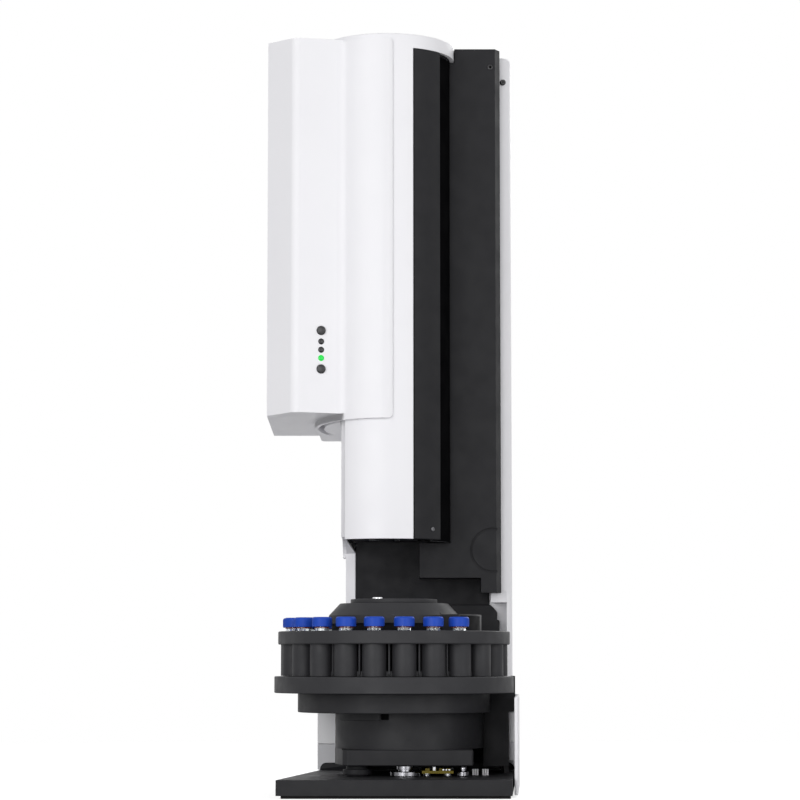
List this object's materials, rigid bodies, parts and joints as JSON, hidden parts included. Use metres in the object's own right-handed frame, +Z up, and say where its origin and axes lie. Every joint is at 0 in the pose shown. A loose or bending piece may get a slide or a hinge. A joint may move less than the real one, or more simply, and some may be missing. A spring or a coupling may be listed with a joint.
{
  "type": "gas chromatography autosampler",
  "caption": "Upright white and black injector tower with a revolving door over a syringe carriage, above a round vial turret on a flat base plate.",
  "frame": {"origin": "middle of the footprint, on the bench", "axes": "+Z up, front of the base towards -Y, the head cover with its lamps towards -X"},
  "size_m": [0.1616, 0.188, 0.48],
  "materials": {
    "white_shell": "fine satin texture",
    "grey_shell": "fine satin texture",
    "black_shell": "fine spark-eroded texture",
    "black_metal": "powder coat",
    "rubber": "matt",
    "steel": "ground",
    "chrome": "polished",
    "brass": "turned",
    "motor_grey": "satin",
    "pulley": "turned",
    "board_green": "solder mask",
    "board_gold": "solder mask with gold pads",
    "black_button": "satin",
    "lamp_dark": "smoked lens",
    "lamp_green": "lit lens",
    "vial_glass": "clear",
    "syringe_glass": "clear",
    "cap_blue": "satin, ribbed",
    "septum_red": "matt"
  },
  "bodies": {
    "frame": {"base_plate": "black_metal", "rubber_feet": "rubber", "right_skirt": "white_shell", "lower_rear_panel": "grey_shell", "chassis_plate": "black_metal", "rear_cover": "white_shell", "side_panel": "black_shell", "cover_screws": "steel", "head_cover": "white_shell", "status_board": "board_green", "dark_lamps": "lamp_dark", "lit_lamp": "lamp_green", "base_ring": "black_shell", "turret_collar": "black_shell", "drum_housing": "black_shell", "drum_foot": "black_shell", "side_stand": "black_metal", "rear_guard": "black_shell", "turret_bearings": "steel", "turret_motor": "motor_grey", "drive_belt": "rubber", "control_board": "board_gold", "board_standoffs": "steel", "drum_posts": "black_metal", "levelling_screws": "chrome", "rear_socket": "black_shell", "hinge_arms": "black_metal", "guide_rods": "steel", "rod_blocks": "black_metal", "carriage_motor": "motor_grey"},
    "turret": {"turret_rim": "black_shell", "filled_wells": "black_shell", "open_wells": "black_shell", "hub_dome": "black_shell", "dome_cap": "black_shell", "dome_screw": "chrome", "turret_shaft": "steel", "turret_pulley": "pulley", "vials": "vial_glass", "vial_caps": "cap_blue", "vial_septa": "septum_red"},
    "drive_pulley": {"motor_pulley": "pulley"},
    "door": {"door_shell": "white_shell", "door_cap": "white_shell", "grip_strip": "black_shell", "door_arm": "black_metal"},
    "carriage": {"carriage_block": "black_metal", "carriage_nut": "brass", "plunger_motor": "motor_grey", "syringe_barrel": "syringe_glass", "needle": "steel"},
    "lift_screw": {"carriage_screw": "steel"},
    "plunger": {"plunger_carrier": "black_metal", "syringe_plunger": "steel"},
    "metering_screw": {"plunger_screw": "steel"},
    "clamp_knob": {"thumb_screw": "black_button"},
    "foot_guide": {"needle_foot": "black_button"},
    "latch": {"syringe_latch": "steel"},
    "button_upper": {"upper_button": "black_button"},
    "button_lower": {"lower_button": "black_button"}
  },
  "joints": [
    {"name": "turret_spin", "type": "hinge", "parent": "frame", "child": "turret", "pos_m": [0, -0.014, 0.08], "axis": [0, 0, 1], "continuous": true},
    {"name": "drive_pulley_spin", "type": "hinge", "parent": "frame", "child": "drive_pulley", "pos_m": [0.032, 0.002, 0.043], "axis": [0, 0, 1], "continuous": true},
    {"name": "door_swing", "type": "hinge", "parent": "frame", "child": "door", "pos_m": [-0.0046, 0.036, 0.3], "axis": [0, 0, -1], "range_deg": [0, 80]},
    {"name": "carriage_slide", "type": "slide", "parent": "frame", "child": "carriage", "axis": [0, 0, -1], "range_m": [0, 0.05]},
    {"name": "lift_screw_turn", "type": "hinge", "parent": "frame", "child": "lift_screw", "pos_m": [0.00286, 0.059, 0.3], "axis": [0, 0, 1], "range_deg": [0, 905]},
    {"name": "plunger_slide", "type": "slide", "parent": "carriage", "child": "plunger", "axis": [0, 0, 1], "range_m": [0, 0.05]},
    {"name": "metering_screw_turn", "type": "hinge", "parent": "carriage", "child": "metering_screw", "pos_m": [-0.00614, 0.0546, 0.31], "axis": [0, 0, 1], "range_deg": [0, 2260]},
    {"name": "clamp_knob_turn", "type": "hinge", "parent": "plunger", "child": "clamp_knob", "pos_m": [-0.00614, 0.0425, 0.2885], "axis": [0, 1, 0], "continuous": true},
    {"name": "needle_foot_slide", "type": "slide", "parent": "carriage", "child": "foot_guide", "axis": [0, 0, 1], "range_m": [0, 0.03]},
    {"name": "latch_swing", "type": "hinge", "parent": "carriage", "child": "latch", "pos_m": [0.00386, 0.047, 0.2485], "axis": [0, 0, 1], "range_deg": [0, 100]},
    {"name": "upper_button_press", "type": "slide", "parent": "frame", "child": "button_upper", "axis": [-0.2222, 0.975, 0], "range_m": [0, 0.0008], "stiffness_N_per_m": 400},
    {"name": "lower_button_press", "type": "slide", "parent": "frame", "child": "button_lower", "axis": [-0.2222, 0.975, 0], "range_m": [0, 0.0008], "stiffness_N_per_m": 400}
  ],
  "couplings": [
    {"joint": "drive_pulley_spin", "follows": "turret_spin", "ratio": 2.6667},
    {"joint": "lift_screw_turn", "follows": "carriage_slide", "rad_per_m": 314.16},
    {"joint": "metering_screw_turn", "follows": "plunger_slide", "rad_per_m": 785.4}
  ]
}
